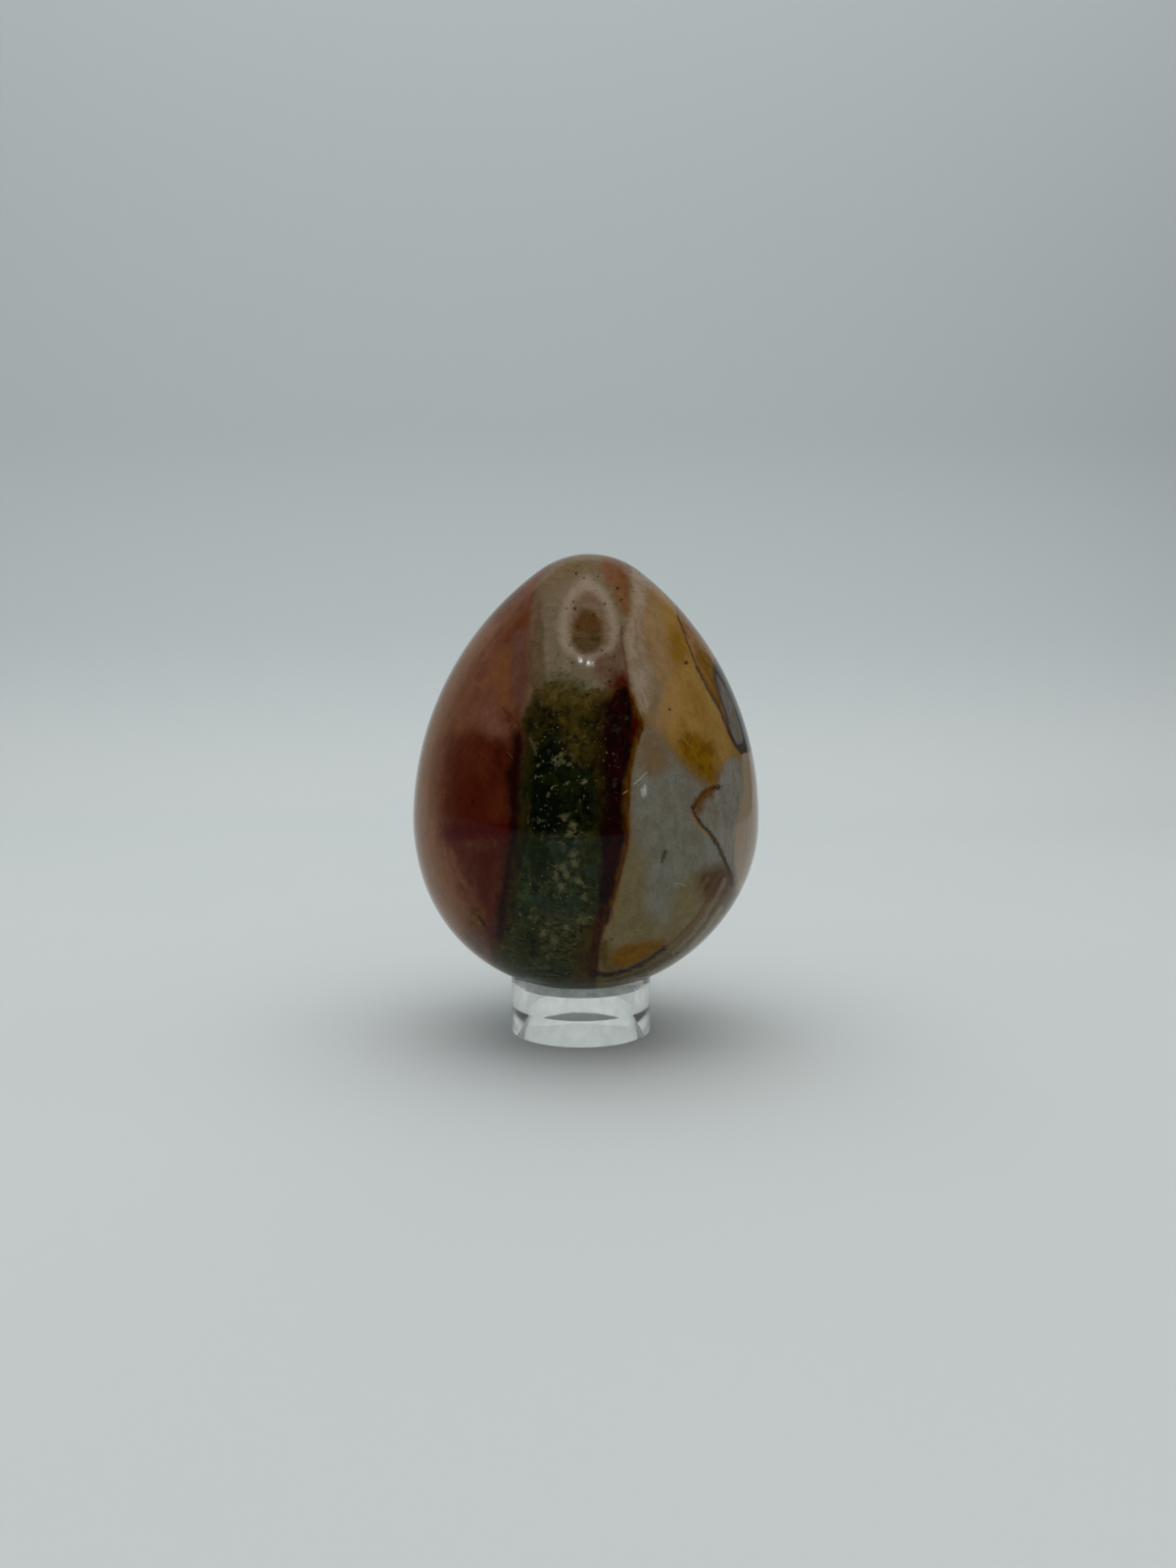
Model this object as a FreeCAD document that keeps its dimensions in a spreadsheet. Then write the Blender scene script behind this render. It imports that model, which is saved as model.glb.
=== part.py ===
import FreeCAD, Part
import math
import os

import Sketcher

# Decorative stone egg resting, blunt end down, in a short clear ring stand.
# Millimetres, +Z up, origin at the centre of the ring's base on the table.
# Two separate pieces: a solid polished egg and a moulded ring with a tapered seat.

os.makedirs("parts", exist_ok=True)
doc = FreeCAD.newDocument("egg_on_stand")

# Driving sizes, in millimetres, and the lean in degrees
SIZES = [
    # Clear ring stand: its outside, its wall at each corner of the bore, and the three
    # lengths that make up its height
    ("ring_diameter", 25.4),
    ("rim_wall", 0.25),
    ("bore_wall", 2.9),
    ("waist_wall", 2.75),
    ("foot_wall", 0.25),
    ("seat_bevel_depth", 2.1),
    ("bore_length", 4),
    ("foot_bevel_depth", 4.2),
    ("ring_edge_radius", 0.15),
    # Mark that the mould's gate left on the ring's outer wall
    ("gate_diameter", 0.9),
    ("gate_proud", 0.1),
    ("gate_root", 0.5),
    ("gate_offset", 1.4),
    ("gate_height", 4.2),
    # Stone egg: ball-shaped lower half, long flank arc, small tip arc
    ("egg_width", 62.2),
    ("egg_height", 78.5),
    ("egg_tip_radius", 15),
    ("egg_lean_angle", 1),
    # Gap that keeps the resting egg clear of the rim
    ("seat_clearance", 0.05),
]

# Most of a wall that the round on its edge may take up
ROUND_LIMIT_SHARE = 0.8

# Sizes that follow from the ones above
DERIVED_SIZES = [
    ("ring_radius", "ring_diameter / 2"),
    ("seat_radius", "ring_radius - rim_wall"),
    ("bore_radius", "ring_radius - bore_wall"),
    ("waist_radius", "ring_radius - waist_wall"),
    ("foot_mouth_radius", "ring_radius - foot_wall"),
    ("seat_floor_height", "foot_bevel_depth + bore_length"),
    ("ring_height", "seat_floor_height + seat_bevel_depth"),
    ("edge_round",
     "min(ring_edge_radius; rim_wall * %g; foot_wall * %g)" % ((ROUND_LIMIT_SHARE,) * 2)),
    ("gate_radius", "gate_diameter / 2"),
    ("gate_wall_depth", "sqrt(ring_radius ^ 2 - gate_offset ^ 2)"),
    ("egg_ball_radius", "egg_width / 2"),
    ("egg_tip_height", "egg_height - egg_ball_radius"),
    ("egg_tip_centre", "egg_tip_height - egg_tip_radius"),
    ("egg_flank_radius",
     "(egg_ball_radius ^ 2 + egg_tip_centre ^ 2 - egg_tip_radius ^ 2)"
     " / (2 * (egg_ball_radius - egg_tip_radius))"),
    # The ball rests on the rim's inner edge, or on the bore's where the bevel is flat
    ("egg_reach", "egg_ball_radius + seat_clearance"),
    ("egg_centre_height",
     "max(ring_height + sqrt(egg_reach ^ 2 - seat_radius ^ 2);"
     " seat_floor_height + sqrt(egg_reach ^ 2 - bore_radius ^ 2))"),
]


def fill_sheet():
    """Write the sizes as plain numbers and the derived ones as formulas."""
    sheet = doc.addObject("Spreadsheet::Sheet", "sizes")
    rows = [(name, str(value)) for name, value in SIZES]
    rows += [(name, "=" + formula) for name, formula in DERIVED_SIZES]
    for row, (name, content) in enumerate(rows, start=1):
        sheet.set("A%d" % row, name)
        sheet.set("B%d" % row, content)
        sheet.setAlias("B%d" % row, name)
    doc.recompute()
    return sheet


sheet = fill_sheet()


def size(name):
    """Present value of a named size."""
    return float(getattr(sheet, name))


def new_body(label):
    body = doc.addObject("PartDesign::Body", label)
    body.Label = label
    return body


def origin_feature(body, role):
    """The body's own origin plane or axis with that role."""
    return next(f for f in body.Origin.OriginFeatures if f.Role == role)


def new_sketch(body, name, role):
    sketch = body.newObject("Sketcher::SketchObject", name)
    sketch.AttachmentSupport = [(origin_feature(body, role), "")]
    sketch.MapMode = "FlatFace"
    return sketch


def drive(sketch, constraint, name, formula):
    """Name a sketch constraint and bind it to the sheet."""
    index = sketch.addConstraint(constraint)
    sketch.renameConstraint(index, name)
    sketch.setExpression("Constraints." + name, formula)


def revolve(body, sketch, name):
    turn = body.newObject("PartDesign::Revolution", name)
    turn.Profile = sketch
    turn.ReferenceAxis = (sketch, ["V_Axis"])
    turn.Angle = 360
    sketch.Visibility = False
    return turn


# Clear ring stand
# A turned section: straight outer wall, wide bevel that seats the egg, short bore and
# a longer bevel that opens to the base, so that the ring could also be used upside down.

RING_OUTLINE = [
    ("seat_edge", "seat_radius", "ring_height"),
    ("rim_edge", "ring_radius", "ring_height"),
    ("base_edge", "ring_radius", None),
    ("foot_mouth", "foot_mouth_radius", None),
    ("waist", "waist_radius", "foot_bevel_depth"),
    ("seat_floor", "bore_radius", "seat_floor_height"),
]


def ring_section(body):
    sketch = new_sketch(body, "ring_section", "XZ_Plane")
    corners = [FreeCAD.Vector(size(radius), size(height) if height else 0, 0)
               for _, radius, height in RING_OUTLINE]
    count = len(corners)
    for index, corner in enumerate(corners):
        sketch.addGeometry(Part.LineSegment(corner, corners[(index + 1) % count]), False)
    for index in range(count):
        sketch.addConstraint(Sketcher.Constraint("Coincident", index, 2, (index + 1) % count, 1))
    for index, (name, radius, height) in enumerate(RING_OUTLINE):
        drive(sketch, Sketcher.Constraint("DistanceX", -1, 1, index, 1, size(radius)),
              name + "_radius", "sizes." + radius)
        if height:
            drive(sketch, Sketcher.Constraint("DistanceY", -1, 1, index, 1, size(height)),
                  name + "_height", "sizes." + height)
        else:
            sketch.addConstraint(Sketcher.Constraint("PointOnObject", index, 1, -1))
    return sketch


def outer_edges(shape):
    """The rim's and the base's outer edges, which the mould leaves rounded."""
    found = []
    for number, edge in enumerate(shape.Edges, start=1):
        curve = edge.Curve
        if isinstance(curve, Part.Circle) and math.isclose(curve.Radius, size("ring_radius")):
            found.append("Edge%d" % number)
    return found


def make_ring_stand():
    body = new_body("ring_stand")
    ring = revolve(body, ring_section(body), "ring_turned")
    doc.recompute()

    rounds = body.newObject("PartDesign::Fillet", "ring_rounds")
    rounds.Base = (ring, outer_edges(ring.Shape))
    rounds.setExpression("Radius", "sizes.edge_round")
    doc.recompute()

    # Low disc beside the front centre, rooted in the wall and a little proud of it
    sketch = new_sketch(body, "gate_outline", "XZ_Plane")
    sketch.setExpression("AttachmentOffset.Base.z", "sizes.gate_wall_depth - sizes.gate_root")
    centre = FreeCAD.Vector(-size("gate_offset"), size("gate_height"), 0)
    sketch.addGeometry(Part.Circle(centre, FreeCAD.Vector(0, 0, 1), size("gate_radius")), False)
    drive(sketch, Sketcher.Constraint("Radius", 0, size("gate_radius")),
          "disc_radius", "sizes.gate_radius")
    drive(sketch, Sketcher.Constraint("DistanceX", 0, 3, -1, 1, size("gate_offset")),
          "disc_offset", "sizes.gate_offset")
    drive(sketch, Sketcher.Constraint("DistanceY", -1, 1, 0, 3, size("gate_height")),
          "disc_height", "sizes.gate_height")
    gate = body.newObject("PartDesign::Pad", "gate_mark")
    gate.Profile = sketch
    gate.setExpression("Length", "sizes.gate_root + sizes.gate_proud")
    doc.recompute()
    return body


# Polished stone egg
# Its own origin is the centre of the ball that forms the lower half. The flank arc leaves
# the ball at the widest level and runs on, tangent, into the small arc of the tip.

def egg_section(body):
    ball_radius = size("egg_ball_radius")
    tip_radius = size("egg_tip_radius")
    tip_centre = size("egg_tip_centre")
    flank_radius = size("egg_flank_radius")
    flank_centre = ball_radius - flank_radius
    join_angle = math.atan2(tip_centre, -flank_centre)
    top, bottom = math.pi / 2, -math.pi / 2

    sketch = new_sketch(body, "egg_section", "XZ_Plane")
    upright = FreeCAD.Vector(0, 0, 1)

    def add_arc(centre_x, centre_z, radius, start, end):
        circle = Part.Circle(FreeCAD.Vector(centre_x, centre_z, 0), upright, radius)
        return sketch.addGeometry(Part.ArcOfCircle(circle, start, end), False)

    ball = add_arc(0, 0, ball_radius, bottom, 0)
    flank = add_arc(flank_centre, 0, flank_radius, 0, join_angle)
    tip = add_arc(0, tip_centre, tip_radius, join_angle, top)
    axis_line = Part.LineSegment(FreeCAD.Vector(0, size("egg_tip_height"), 0),
                                 FreeCAD.Vector(0, -ball_radius, 0))
    axis = sketch.addGeometry(axis_line, False)

    sketch.addConstraint(Sketcher.Constraint("Coincident", ball, 3, -1, 1))
    sketch.addConstraint(Sketcher.Constraint("Tangent", ball, 2, flank, 1))
    sketch.addConstraint(Sketcher.Constraint("Tangent", flank, 2, tip, 1))
    sketch.addConstraint(Sketcher.Constraint("PointOnObject", flank, 3, -1))
    sketch.addConstraint(Sketcher.Constraint("PointOnObject", tip, 3, -2))
    sketch.addConstraint(Sketcher.Constraint("Coincident", tip, 2, axis, 1))
    sketch.addConstraint(Sketcher.Constraint("Coincident", axis, 2, ball, 1))
    sketch.addConstraint(Sketcher.Constraint("PointOnObject", axis, 1, -2))
    sketch.addConstraint(Sketcher.Constraint("PointOnObject", axis, 2, -2))
    drive(sketch, Sketcher.Constraint("Radius", ball, ball_radius),
          "ball_radius", "sizes.egg_ball_radius")
    drive(sketch, Sketcher.Constraint("Radius", tip, tip_radius),
          "tip_radius", "sizes.egg_tip_radius")
    drive(sketch, Sketcher.Constraint("DistanceY", -1, 1, axis, 1, size("egg_tip_height")),
          "tip_height", "sizes.egg_tip_height")
    return sketch


def make_polished_egg():
    body = new_body("polished_egg")
    revolve(body, egg_section(body), "egg_turned")
    lean_axis = FreeCAD.Vector(0, 1, 0)
    body.Placement = FreeCAD.Placement(FreeCAD.Vector(0, 0, size("egg_centre_height")),
                                       FreeCAD.Rotation(lean_axis, size("egg_lean_angle")))
    body.setExpression("Placement.Base.z", "sizes.egg_centre_height")
    body.setExpression("Placement.Rotation.Angle", "sizes.egg_lean_angle")
    doc.recompute()
    return body


def check_document():
    """Stop before anything is written if an object or a solid failed."""
    for item in doc.Objects:
        if "Invalid" in item.State or "Error" in item.State:
            raise RuntimeError("%s is %s" % (item.Label, item.State))


def check_solid(body):
    shape = body.Shape
    if shape.isNull() or not shape.isValid() or len(shape.Solids) != 1:
        raise RuntimeError(body.Label + " is not one valid solid")


bodies = [make_ring_stand(), make_polished_egg()]
doc.recompute()
check_document()
for body in bodies:
    check_solid(body)
for body in bodies:
    body.Shape.exportStep("parts/%s.step" % body.Label)
    box = body.Shape.BoundBox
    print(body.Label, "volume %.1f" % body.Shape.Volume, box)

egg_gap = bodies[0].Shape.distToShape(bodies[1].Shape)[0]
print("gap between the ring and the resting egg %.3f" % egg_gap)
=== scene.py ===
import math

import bpy
import numpy as np
from mathutils import Matrix, Vector, noise
from mathutils.bvhtree import BVHTree


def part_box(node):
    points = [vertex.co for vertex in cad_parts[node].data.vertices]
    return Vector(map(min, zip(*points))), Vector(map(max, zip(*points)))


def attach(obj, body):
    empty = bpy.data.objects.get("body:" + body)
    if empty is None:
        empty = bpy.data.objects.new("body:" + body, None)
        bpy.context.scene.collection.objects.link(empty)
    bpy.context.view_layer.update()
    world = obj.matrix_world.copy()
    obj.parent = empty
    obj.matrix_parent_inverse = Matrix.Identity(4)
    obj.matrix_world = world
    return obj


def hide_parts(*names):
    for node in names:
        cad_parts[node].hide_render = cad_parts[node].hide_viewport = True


# A polished jasper egg, blunt end down, in a short clear ring stand on a pale sweep.
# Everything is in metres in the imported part's own frame, and the seen side faces -Y.

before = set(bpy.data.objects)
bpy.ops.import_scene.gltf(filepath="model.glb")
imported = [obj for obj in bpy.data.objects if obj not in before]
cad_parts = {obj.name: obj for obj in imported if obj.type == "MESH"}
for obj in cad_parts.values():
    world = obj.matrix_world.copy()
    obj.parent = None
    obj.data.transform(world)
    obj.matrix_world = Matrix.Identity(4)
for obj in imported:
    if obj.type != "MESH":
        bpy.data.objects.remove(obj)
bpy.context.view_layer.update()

MM = 0.001

# The photograph's frame and view, in its pixels
IMAGE_WIDTH = 1200
IMAGE_HEIGHT = 1600
FOCAL_PX = 1202
RING_BASE_PX = (592.9, 1048.8)
RING_HALF_WIDTH_PX = 70.35
RING_VIEW_ANGLE = math.radians(15.6)
SENSOR_MM = 36
NEAR_CLIP = 0.01
FAR_CLIP = 20


def photo_view():
    """Place and axes of the camera, worked out from how the ring's base looks in the photograph."""
    ring_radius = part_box("ring_stand")[1].x
    side = (RING_BASE_PX[0] - IMAGE_WIDTH / 2) / FOCAL_PX
    drop = (RING_BASE_PX[1] - IMAGE_HEIGHT / 2) / FOCAL_PX
    pitch = RING_VIEW_ANGLE - math.atan(drop)
    depth = FOCAL_PX * ring_radius / RING_HALF_WIDTH_PX
    forward = Vector((0, math.cos(pitch), -math.sin(pitch)))
    right = Vector((1, 0, 0))
    up = right.cross(forward)
    place = -depth * (forward + side * right - drop * up)
    return place, right, up, forward


VIEW_PLACE, VIEW_RIGHT, VIEW_UP, VIEW_FORWARD = photo_view()


def photo_pixels(points):
    """Pixels of the photograph where these points, rows of x, y and z, would show."""
    rays = points - np.array(VIEW_PLACE)
    depth = rays @ np.array(VIEW_FORWARD)
    across = IMAGE_WIDTH / 2 + FOCAL_PX * (rays @ np.array(VIEW_RIGHT)) / depth
    down = IMAGE_HEIGHT / 2 - FOCAL_PX * (rays @ np.array(VIEW_UP)) / depth
    return np.stack([across, down], axis=1)


def pixel_ray(pixel):
    """Direction from the camera through a pixel of the photograph."""
    across = (pixel[0] - IMAGE_WIDTH / 2) / FOCAL_PX
    down = (pixel[1] - IMAGE_HEIGHT / 2) / FOCAL_PX
    return (VIEW_FORWARD + across * VIEW_RIGHT - down * VIEW_UP).normalized()


def add_camera():
    data = bpy.data.cameras.new("photo_camera")
    data.sensor_width = SENSOR_MM
    data.lens = SENSOR_MM * FOCAL_PX / IMAGE_HEIGHT
    data.clip_start = NEAR_CLIP
    data.clip_end = FAR_CLIP
    camera = bpy.data.objects.new("photo_camera", data)
    axes = Matrix((VIEW_RIGHT, VIEW_UP, -VIEW_FORWARD)).transposed()
    camera.matrix_world = Matrix.Translation(VIEW_PLACE) @ axes.to_4x4()
    bpy.context.scene.collection.objects.link(camera)
    bpy.context.scene.camera = camera


def new_object(name, vertices, faces, smooth=True):
    mesh = bpy.data.meshes.new(name)
    mesh.from_pydata([tuple(v) for v in vertices], [], faces)
    mesh.validate()
    mesh.polygons.foreach_set("use_smooth", [smooth] * len(mesh.polygons))
    piece = bpy.data.objects.new(name, mesh)
    bpy.context.scene.collection.objects.link(piece)
    return piece


# Node trees
# Every shader is put together with these few calls.

class Tree:
    def __init__(self, data):
        data.use_nodes = True
        self.tree = data.node_tree
        self.tree.nodes.clear()

    def node(self, kind, settings=None, **inputs):
        """A new node with its settings and its inputs, each a value or another node's output.
        An input is named, or numbered after an underscore."""
        made = self.tree.nodes.new(kind)
        for name, value in (settings or {}).items():
            setattr(made, name, value)
        for name, value in inputs.items():
            key = int(name[1:]) if name[1:].isdigit() else name.replace("_", " ")
            self.feed(made.inputs[key], value)
        return made

    def feed(self, socket, value):
        if isinstance(value, bpy.types.NodeSocket):
            self.tree.links.new(value, socket)
        else:
            socket.default_value = value

    def math(self, operation, a, b=0.0, c=0.0):
        return self.node("ShaderNodeMath", {"operation": operation}, _0=a, _1=b, _2=c).outputs[0]

    def vector(self, operation, a, b=(0, 0, 0)):
        return self.node("ShaderNodeVectorMath", {"operation": operation}, _0=a, _1=b)

    def scaled(self, vector, factors):
        return self.vector("MULTIPLY", vector, factors).outputs[0]

    def mix(self, share, a, b, blend="MIX"):
        """Colour a where share is 0 and colour b where it is 1."""
        made = self.node("ShaderNodeMix", {"data_type": "RGBA", "blend_type": blend}, _0=share)
        self.feed(made.inputs[6], a)
        self.feed(made.inputs[7], b)
        return made.outputs[2]

    def ramp(self, value, low, high, out_low=0.0, out_high=1.0):
        """Smooth step of a value from low to high."""
        made = self.node("ShaderNodeMapRange", {"interpolation_type": "SMOOTHSTEP"},
                         _0=value, _1=low, _2=high, _3=out_low, _4=out_high)
        return made.outputs[0]

    def noise(self, place, size, detail=2.0, rough=0.5, warp=0.0):
        """Noise around 0.5 whose lumps are about that size in metres."""
        return self.node("ShaderNodeTexNoise", {"noise_dimensions": "3D"}, Vector=place,
                         Scale=1 / size, Detail=detail, Roughness=rough, Distortion=warp).outputs[0]

    def attribute(self, name):
        return self.node("ShaderNodeAttribute", {"attribute_name": name})


def linear(colour):
    """Linear light of an 8-bit colour."""
    def level(value):
        share = value / 255
        return share / 12.92 if share <= 0.04045 else ((share + 0.055) / 1.055) ** 2.4
    return tuple(level(value) for value in colour)


def rgba(colour):
    return linear(colour) + (1.0,)


# Clear ring stand
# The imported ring's section, turned in finer steps so that it refracts cleanly.

RIM_WALL = 0.25 * MM
BORE_WALL = 2.9 * MM
WAIST_WALL = 2.75 * MM
FOOT_WALL = 0.25 * MM
FOOT_BEVEL_DEPTH = 4.2 * MM
BORE_LENGTH = 4 * MM
RING_EDGE_RADIUS = 0.15 * MM
RING_STEPS = 288
ROUND_STEPS = 5
BEVEL_STEPS = 6
GATE_RADIUS = 0.45 * MM
GATE_PROUD = 0.1 * MM
GATE_ROOT = 0.5 * MM
GATE_OFFSET = 1.4 * MM
GATE_HEIGHT = 4.2 * MM
GATE_STEPS = 32
SHARP_ANGLE = math.radians(12)
ACRYLIC_IOR = 1.49
ACRYLIC_TINT = (0.978, 0.987, 0.982, 1)
SHADOW_TINT = (0.99, 1, 0.995, 1)
SCUFF_TONE = (0.95, 0.97, 0.97, 1)
LEAST_SCUFF = 0.04
MOST_SCUFF = 0.13
HAZE_SIZE = 2 * MM
HAZE_ROUGHNESS = 0.06
SCRATCH_SIZE = 1.2 * MM
SCRATCH_DEPTH = 0.05 * MM


def ring_section():
    """Outline of the ring's wall, as radius and height, once round."""
    low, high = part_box("ring_stand")
    radius, height = high.x, high.z
    top = height - RING_EDGE_RADIUS
    shoulder = radius - RING_EDGE_RADIUS
    points = [(radius - RIM_WALL, height)]
    for step in range(ROUND_STEPS + 1):
        turn = math.pi / 2 * (1 - step / ROUND_STEPS)
        points.append((shoulder + RING_EDGE_RADIUS * math.cos(turn), top + RING_EDGE_RADIUS * math.sin(turn)))
    for step in range(ROUND_STEPS + 1):
        turn = -math.pi / 2 * step / ROUND_STEPS
        points.append((shoulder + RING_EDGE_RADIUS * math.cos(turn),
                       RING_EDGE_RADIUS + RING_EDGE_RADIUS * math.sin(turn)))
    corners = [(radius - FOOT_WALL, 0), (radius - WAIST_WALL, FOOT_BEVEL_DEPTH),
               (radius - BORE_WALL, FOOT_BEVEL_DEPTH + BORE_LENGTH), (radius - RIM_WALL, height)]
    for (r0, z0), (r1, z1) in zip(corners, corners[1:]):
        for step in range(BEVEL_STEPS):
            share = step / BEVEL_STEPS
            points.append((r0 + (r1 - r0) * share, z0 + (z1 - z0) * share))
    return points


def turned(name, section, steps):
    """A closed section turned about the Z axis."""
    vertices = [(r * math.cos(2 * math.pi * step / steps), r * math.sin(2 * math.pi * step / steps), z)
                for step in range(steps) for r, z in section]
    count = len(section)
    faces = [(step * count + i, (step + 1) % steps * count + i,
              (step + 1) % steps * count + (i + 1) % count, step * count + (i + 1) % count)
             for step in range(steps) for i in range(count)]
    return new_object(name, vertices, faces)


def gate_disc(wall_radius):
    """The low round mark beside the ring's front centre, rooted in its wall."""
    face = -math.sqrt(wall_radius ** 2 - GATE_OFFSET ** 2)
    turns = [2 * math.pi * step / GATE_STEPS for step in range(GATE_STEPS)]
    vertices = [(GATE_RADIUS * math.cos(turn) - GATE_OFFSET, y, GATE_RADIUS * math.sin(turn) + GATE_HEIGHT)
                for y in (face - GATE_PROUD, face + GATE_ROOT) for turn in turns]
    faces = [tuple(range(GATE_STEPS)), tuple(reversed(range(GATE_STEPS, 2 * GATE_STEPS)))]
    faces += [(i, i + GATE_STEPS, (i + 1) % GATE_STEPS + GATE_STEPS, (i + 1) % GATE_STEPS)
              for i in range(GATE_STEPS)]
    return new_object("gate_disc", vertices, faces)


def joined(piece, other):
    """piece with other fused into it."""
    fuse = piece.modifiers.new("fuse", "BOOLEAN")
    fuse.operation = "UNION"
    fuse.solver = "EXACT"
    fuse.object = other
    graph = bpy.context.evaluated_depsgraph_get()
    mesh = bpy.data.meshes.new_from_object(piece.evaluated_get(graph))
    piece.modifiers.clear()
    piece.data = mesh
    bpy.data.objects.remove(other)
    return piece


def make_ring(material):
    ring = turned("clear_ring", ring_section(), RING_STEPS)
    ring = joined(ring, gate_disc(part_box("ring_stand")[1].x))
    ring.data.polygons.foreach_set("use_smooth", [True] * len(ring.data.polygons))
    ring.data.set_sharp_from_angle(angle=SHARP_ANGLE)
    ring.data.materials.clear()
    ring.data.materials.append(material)
    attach(ring, "stand")
    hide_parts("ring_stand")
    return ring


def acrylic_material():
    material = bpy.data.materials.new("clear_acrylic")
    t = Tree(material)
    place = t.node("ShaderNodeTexCoord").outputs["Object"]
    haze = t.noise(place, HAZE_SIZE, detail=4.0, rough=0.6)
    scratches = t.noise(t.scaled(place, (1, 1, 9)), SCRATCH_SIZE, detail=3.0)
    bump = t.node("ShaderNodeBump", Strength=0.03, Distance=SCRATCH_DEPTH, Height=scratches).outputs[0]
    shader = t.node("ShaderNodeBsdfPrincipled", Base_Color=ACRYLIC_TINT, IOR=ACRYLIC_IOR, Normal=bump,
                    Roughness=t.ramp(haze, 0.35, 0.8, 0.0, HAZE_ROUGHNESS), Transmission_Weight=1.0)
    clear = t.node("ShaderNodeBsdfTransparent", Color=SHADOW_TINT)
    scuffed = t.node("ShaderNodeBsdfDiffuse", Color=SCUFF_TONE)
    scuff_share = t.ramp(haze, 0.35, 0.7, LEAST_SCUFF, MOST_SCUFF)
    worn = t.node("ShaderNodeMixShader", _0=scuff_share, _1=shader.outputs[0], _2=scuffed.outputs[0])
    shadow_ray = t.node("ShaderNodeLightPath").outputs["Is Shadow Ray"]
    blend = t.node("ShaderNodeMixShader", _0=shadow_ray, _1=worn.outputs[0], _2=clear.outputs[0])
    t.node("ShaderNodeOutputMaterial", Surface=blend.outputs[0])
    return material


# Polished egg
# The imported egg's three arcs, and a little of the unevenness of grinding by hand.

EGG_HEIGHT = 78.5 * MM
EGG_TIP_RADIUS = 15 * MM
EGG_LEAN = math.radians(1)
BELLY_SHIFT = 0.9 * MM
SHIFT_START = 10 * MM
SHIFT_END = 36 * MM
ROW_PITCH = 0.42 * MM
FRONT_PITCH = math.radians(0.76)
BACK_PITCH = math.radians(1.5)
FRONT_HALF = math.radians(84)


def egg_meridian(ball_radius):
    """Radii and heights about the ball's centre, from the bottom pole to the top one."""
    tip_centre = EGG_HEIGHT - ball_radius - EGG_TIP_RADIUS
    flank_radius = ((ball_radius ** 2 + tip_centre ** 2 - EGG_TIP_RADIUS ** 2)
                    / (2 * (ball_radius - EGG_TIP_RADIUS)))
    join = math.atan2(tip_centre, flank_radius - ball_radius)
    arcs = [(0, 0, ball_radius, -math.pi / 2, 0),
            (ball_radius - flank_radius, 0, flank_radius, 0, join),
            (0, tip_centre, EGG_TIP_RADIUS, join, math.pi / 2)]
    points = []
    for centre_r, centre_z, radius, start, end in arcs:
        steps = round(radius * (end - start) / ROW_PITCH)
        turns = start + (end - start) * np.arange(steps) / steps
        arc = [centre_r + radius * np.cos(turns), centre_z + radius * np.sin(turns)]
        points.append(np.stack(arc, axis=1))
    return np.concatenate(points)[1:], EGG_HEIGHT - ball_radius


def smooth_step(value, low, high):
    share = np.clip((value - low) / (high - low), 0, 1)
    return share * share * (3 - 2 * share)


def egg_vertices():
    low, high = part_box("polished_egg")
    ball_radius = (high.y - low.y) / 2
    centre = low.z + ball_radius
    rows, top = egg_meridian(ball_radius)
    front = np.linspace(-FRONT_HALF, FRONT_HALF, round(2 * FRONT_HALF / FRONT_PITCH) + 1)
    rest = 2 * math.pi - 2 * FRONT_HALF
    back = FRONT_HALF + np.linspace(0, rest, round(rest / BACK_PITCH) + 1)[1:-1]
    turns = np.concatenate([front, back])
    radii, heights = rows[:, :1], rows[:, 1:]
    x = (radii * np.sin(turns)).ravel()
    y = (-radii * np.cos(turns)).ravel()
    z = np.repeat(heights, len(turns), axis=1).ravel()
    x = np.concatenate([x, [0, 0]])
    y = np.concatenate([y, [0, 0]])
    z = np.concatenate([z, [-ball_radius, top]])
    leaned_x = x * math.cos(EGG_LEAN) + z * math.sin(EGG_LEAN)
    leaned_z = z * math.cos(EGG_LEAN) - x * math.sin(EGG_LEAN) + centre
    leaned_x += BELLY_SHIFT * smooth_step(leaned_z, SHIFT_START, SHIFT_END)
    return np.stack([leaned_x, y, leaned_z], axis=1), len(rows), len(turns)


def egg_faces(rows, columns):
    bottom, top = rows * columns, rows * columns + 1
    faces = [(row * columns + i, row * columns + (i + 1) % columns,
              (row + 1) * columns + (i + 1) % columns, (row + 1) * columns + i)
             for row in range(rows - 1) for i in range(columns)]
    faces += [(bottom, (i + 1) % columns, i) for i in range(columns)]
    last = (rows - 1) * columns
    faces += [(top, last + i, last + (i + 1) % columns) for i in range(columns)]
    return faces


# Stone
# The pattern is laid out in the photograph's pixels: zones are closed outlines and
# marks are strokes and dots. Every vertex keeps its distance to each of them, and the
# shader turns those distances into soft or ragged edges, lumps and lines.

# The stone's own tones as 8-bit values, in families, each from dark to light

PITCH = (5, 5, 3)
PEAT = (20, 5, 3)
MAHOGANY = (37, 4, 2)
GARNET = (46, 2, 1)
CHERRY = (65, 3, 2)
CARMINE = (80, 6, 2)
OXBLOOD = (60, 15, 3)
CLARET = (73, 17, 5)
BRICK = (79, 26, 9)
RUSSET = (88, 38, 16)

SEPIA = (50, 31, 6)
RUST = (72, 40, 12)
HAZEL = (85, 57, 25)
BARK = (95, 67, 34)
UMBER = (100, 53, 10)
SADDLE = (118, 72, 5)
TERRACOTTA = (114, 70, 38)
TAWNY = (126, 78, 50)
COPPER = (128, 88, 54)
FAWN = (139, 98, 70)

DUSK = (87, 60, 44)
MAUVE_SHADE = (97, 62, 46)
MAUVE = (105, 73, 56)
CINNAMON = (107, 61, 42)
ROSE = (125, 82, 65)

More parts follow.
